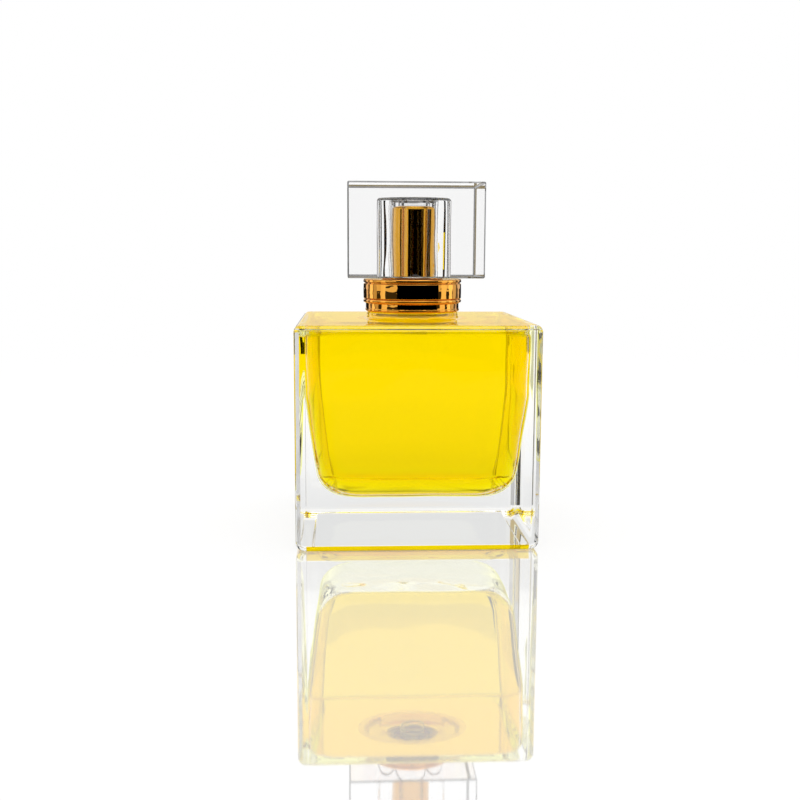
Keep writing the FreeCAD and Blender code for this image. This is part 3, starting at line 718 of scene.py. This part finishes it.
def floor():
    """Pale glossy floor.

    Rays straight from glass see it glow, from amber under the bottle to white further out, and polished faces
    see it nearly black.
    """
    mesh = bpy.data.meshes.new("floor")
    build = bmesh.new()
    bmesh.ops.create_circle(build, cap_ends=True, segments=96, radius=2.5)
    build.to_mesh(mesh)
    build.free()
    plane = bpy.data.objects.new("floor", mesh)
    plane.location.z = -0.00005
    bpy.context.scene.collection.objects.link(plane)
    material, shader, output = new_material("floor")
    nodes, links = material.node_tree.nodes, material.node_tree.links

    def mixed(factor, first, second):
        node = nodes.new("ShaderNodeMixShader")
        if isinstance(factor, float):
            node.inputs["Fac"].default_value = factor
        else:
            links.new(factor, node.inputs["Fac"])
        links.new(first, node.inputs[1])
        links.new(second, node.inputs[2])
        return node.outputs["Shader"]

    def glowing(colour):
        node = nodes.new("ShaderNodeEmission")
        if isinstance(colour, tuple):
            node.inputs["Color"].default_value = colour
        else:
            links.new(colour, node.inputs["Color"])
        return node.outputs["Emission"]

    def by_radius(near, far):
        node = nodes.new("ShaderNodeMapRange")
        node.interpolation_type = "SMOOTHSTEP"
        node.inputs["From Min"].default_value = near
        node.inputs["From Max"].default_value = far
        links.new(reach.outputs["Value"], node.inputs["Value"])
        return node.outputs["Result"]

    place = nodes.new("ShaderNodeTexCoord")
    reach = nodes.new("ShaderNodeVectorMath")
    reach.operation = "LENGTH"
    links.new(place.outputs["Object"], reach.inputs[0])
    ray = nodes.new("ShaderNodeLightPath")
    shader.inputs["Base Color"].default_value = (0.95, 0.95, 0.95, 1)
    shader.inputs["Roughness"].default_value = 0.6
    mirror = nodes.new("ShaderNodeBsdfGlossy")
    mirror.inputs["Roughness"].default_value = 0.03
    mirror.inputs["Color"].default_value = (1, 1, 1, 1)
    plain = mixed(0.6, shader.outputs["BSDF"], glowing((1, 1, 1, 1)))
    polished = mixed(0.58, plain, mirror.outputs["BSDF"])
    direct = mixed(by_radius(0.22, 0.50), polished, glowing((1, 1, 1, 1)))
    shade = stepped_ramp(nodes, (
        (0.0, (0.75, 0.55, 0.30)), (0.04, (0.93, 0.78, 0.52)), (0.10, (0.94, 0.87, 0.76)),
        (0.14, grey(0.90)), (0.34, grey(1.0)), (0.67, grey(1.08)),
    ))
    span = nodes.new("ShaderNodeMath")
    span.operation = "DIVIDE"
    span.inputs[1].default_value = 0.30
    links.new(reach.outputs["Value"], span.inputs[0])
    links.new(span.outputs["Value"], shade.inputs["Fac"])
    in_mirrors = mixed(ray.outputs["Is Singular Ray"], direct, glowing((0.05, 0.05, 0.05, 1)))
    final = mixed(ray.outputs["Is Transmission Ray"], in_mirrors, glowing(shade.outputs["Color"]))
    links.new(final, output.inputs["Surface"])
    mesh.materials.append(material)


def world():
    """White surround; polished faces and glass see a dark ring high up in it."""
    surround = bpy.data.worlds.new("surround")
    bpy.context.scene.world = surround
    surround.use_nodes = True
    nodes, links = surround.node_tree.nodes, surround.node_tree.links
    sky = nodes["Background"]
    sky.inputs["Strength"].default_value = 1.0
    place = nodes.new("ShaderNodeTexCoord")
    split = nodes.new("ShaderNodeSeparateXYZ")
    links.new(place.outputs["Generated"], split.inputs["Vector"])
    rise = stepped_ramp(nodes, ((0.74, grey(1.0)), (0.79, grey(0.15)), (0.90, grey(0.15)), (0.95, grey(0.9))))
    links.new(split.outputs["Z"], rise.inputs["Fac"])
    ray = nodes.new("ShaderNodeLightPath")
    shown = nodes.new("ShaderNodeMix")
    shown.data_type = "FLOAT"
    shown.inputs["A"].default_value = 1.0
    links.new(ray.outputs["Is Singular Ray"], shown.inputs["Factor"])
    links.new(rise.outputs["Color"], shown.inputs["B"])
    links.new(shown.outputs["Result"], sky.inputs["Color"])


POLISHED = ("Is Singular Ray",)
REFLECTED = ("Is Singular Ray", "Glossy Depth")
REFRACTED = ("Transmission Depth",)


def panel(name, turn, width, low, high, distance, colour, through=False, rays=POLISHED):
    """Upright studio panel that follows a circle about the bottle.

    turn is its middle and width its span, in degrees from the back; low, high and distance are in metres.
    Only rays that meet every condition in rays see it, and those that have just passed glass see it only if
    through is true. The camera never sees it.
    """
    mesh = bpy.data.meshes.new(name)
    build = bmesh.new()
    steps = max(2, round(width / 6))
    feet, heads = [], []
    for step in range(steps + 1):
        angle = math.radians(turn + width * (step / steps - 0.5))
        side = Vector((math.sin(angle), math.cos(angle), 0)) * distance
        feet.append(build.verts.new(side + Vector((0, 0, low))))
        heads.append(build.verts.new(side + Vector((0, 0, high))))
    for step in range(steps):
        build.faces.new((feet[step], feet[step + 1], heads[step + 1], heads[step]))
    build.to_mesh(mesh)
    build.free()
    board = bpy.data.objects.new(name, mesh)
    bpy.context.scene.collection.objects.link(board)
    material, shader, output = new_material(name)
    nodes, links = material.node_tree.nodes, material.node_tree.links
    nodes.remove(shader)
    glow = nodes.new("ShaderNodeEmission")
    glow.inputs["Color"].default_value = (*colour, 1)
    gone = nodes.new("ShaderNodeBsdfTransparent")
    ray = nodes.new("ShaderNodeLightPath")
    seen = nodes.new("ShaderNodeMixShader")
    shown = ray.outputs[rays[0]]
    for condition in rays[1:]:
        both = nodes.new("ShaderNodeMath")
        both.operation = "MULTIPLY"
        links.new(shown, both.inputs[0])
        links.new(ray.outputs[condition], both.inputs[1])
        shown = both.outputs["Value"]
    links.new(shown, seen.inputs["Fac"])
    links.new(gone.outputs["BSDF"], seen.inputs[1])
    links.new(glow.outputs["Emission"], seen.inputs[2])
    links.new(seen.outputs["Shader"], output.inputs["Surface"])
    mesh.materials.append(material)
    board.visible_camera = False
    board.visible_diffuse = False
    board.visible_shadow = False
    board.visible_transmission = through


def softbox(name, place, target, width, height, power):
    """Soft lamp of width by height metres that faces target."""
    light = bpy.data.lights.new(name, "AREA")
    light.shape = "RECTANGLE"
    light.size = width
    light.size_y = height
    light.energy = power
    lamp = bpy.data.objects.new(name, light)
    lamp.location = place
    lamp.rotation_euler = (Vector(target) - Vector(place)).to_track_quat("-Z", "Y").to_euler()
    bpy.context.scene.collection.objects.link(lamp)


def camera():
    """Camera at the product shot's angle: a little left of centre, above the shoulder, looking down."""
    place = Vector((-0.01567, -0.25775, 0.06826))
    yaw, pitch, roll = 0.0494, 0.1427, 0.0038
    forward = Vector((math.sin(yaw) * math.cos(pitch), math.cos(yaw) * math.cos(pitch), -math.sin(pitch)))
    right = Vector((math.cos(yaw), -math.sin(yaw), 0))
    up = right.cross(forward)
    right, up = (math.cos(roll) * right + math.sin(roll) * up, math.cos(roll) * up - math.sin(roll) * right)
    data = bpy.data.cameras.new("camera")
    data.sensor_width = 36
    data.lens = 46.804
    data.clip_start = 0.005
    data.clip_end = 10
    eye = bpy.data.objects.new("camera", data)
    bpy.context.scene.collection.objects.link(eye)
    eye.matrix_world = Matrix((
        (right.x, up.x, -forward.x, place.x),
        (right.y, up.y, -forward.y, place.y),
        (right.z, up.z, -forward.z, place.z),
        (0, 0, 0, 1),
    ))
    bpy.context.scene.camera = eye


def render_settings():
    """Enough bounces for light to cross the glass, the liquid and the cap."""
    scene = bpy.context.scene
    scene.view_settings.view_transform = "Standard"
    scene.cycles.max_bounces = 32
    scene.cycles.transmission_bounces = 28
    scene.cycles.glossy_bounces = 16
    scene.cycles.transparent_max_bounces = 16


def studio_panels():
    """Bright side strips, a warm card behind the cap, dark flags, and cards that only the glass shows."""
    strips = (
        (-46, 8, 1.1), (-55, 6, 0.3), (-66, 12, 1.6), (-80, 12, 0.7), (-105, 14, 1.2),
        (46, 8, 0.9), (55, 6, 0.2), (68, 14, 0.8), (83, 12, 1.7), (105, 14, 1.3),
    )
    for index, (turn, width, level) in enumerate(strips):
        panel(f"softbox_{index}", turn, width, 0.0, 0.30, 0.36, grey(level))
    panel("warm_card", 4, 40, 0.056, 0.098, 0.36, (0.98, 0.80, 0.46))
    panel("dark_front_strip", 170, 98, 0.0, 0.14, 0.40, grey(0.0), through=True, rays=REFLECTED)
    flags = (
        ("left_near_flag", -29, 14), ("right_near_flag", 29, 14),
        ("left_far_flag", -66, 16), ("right_far_flag", 66, 16),
    )
    for name, turn, width in flags:
        panel(name, turn, width, 0.0, 0.20, 0.42, grey(0.01), through=True)
    # Painted glow: the yellow cards shine only for light that has passed glass, standing in for the liquid's
    # yellow light seen in the glass on the right.
    yellow = (1.0, 0.72, 0.02)
    panel("grey_back_card", 0, 60, 0.18, 0.28, 0.80, grey(0.84), through=True, rays=REFRACTED)
    panel("yellow_side_card", 82, 40, 0.0, 0.062, 0.35, yellow, through=True, rays=REFRACTED)
    panel("yellow_tall_card", 70, 8, 0.0, 0.072, 0.34, yellow, through=True, rays=REFRACTED)


camera()
glass_bottle()
liquid_body()
cap_block()
cap_liner()
cap_plug()
collar_shell()
collar_base_ring()
return_spring()
dress_cad_nodes()
floor()
world()
softbox("overhead", (0, 0, 0.6), (0, 0, 0), 0.5, 0.5, 1.0)
studio_panels()
render_settings()
